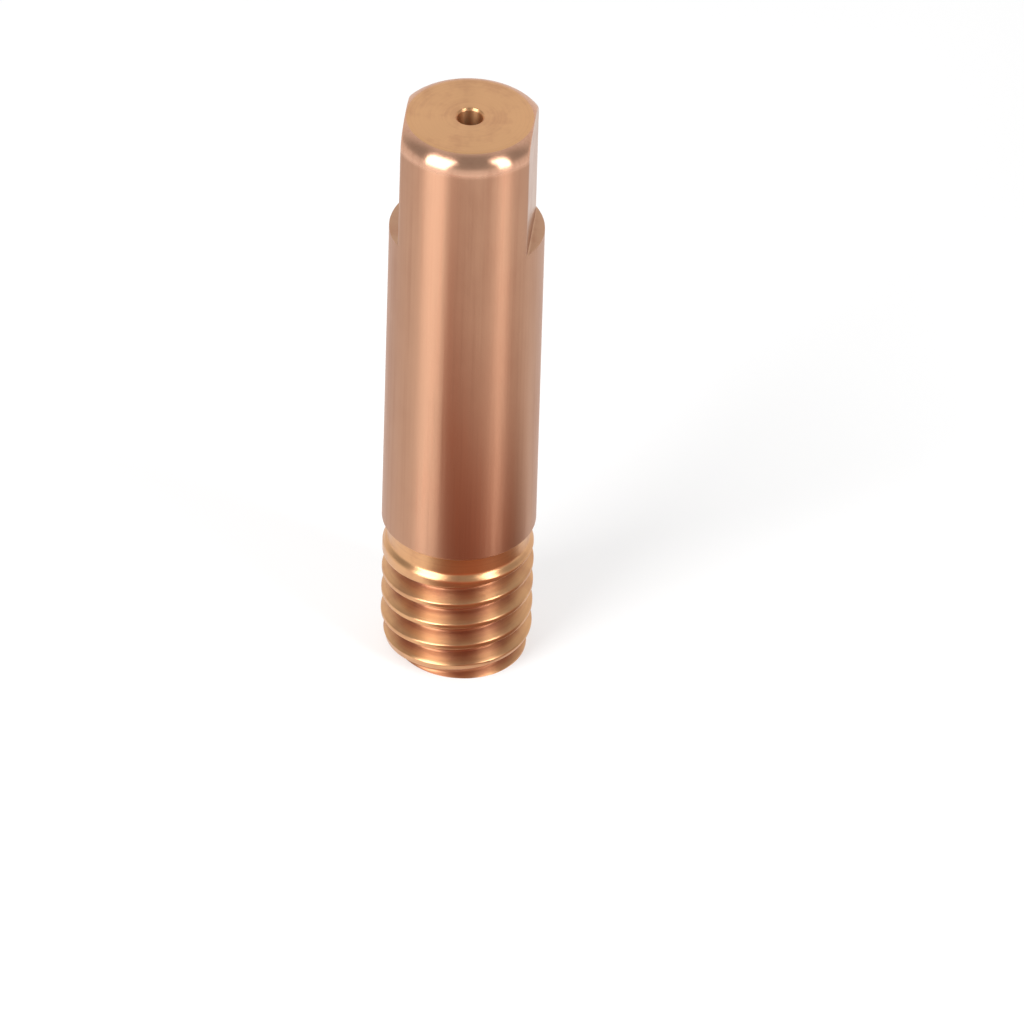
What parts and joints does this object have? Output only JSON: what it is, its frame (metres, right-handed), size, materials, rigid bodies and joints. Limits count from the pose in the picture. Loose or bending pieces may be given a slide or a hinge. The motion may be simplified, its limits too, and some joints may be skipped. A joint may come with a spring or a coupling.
{
  "type": "welding contact tip",
  "caption": "Turned copper contact tip: round body, rounded nose with a pair of spanner flats, wire bore right through, threaded rear end.",
  "frame": {"origin": "centre of the threaded end's flat face, on the axis of the bore", "axes": "+Z along the bore from the threaded end to the nose; the spanner flats face +X and -X"},
  "size_m": [0.006, 0.006, 0.025],
  "materials": {
    "copper": null
  },
  "bodies": {
    "root": {"contact_tip": "copper"}
  },
  "joints": []
}
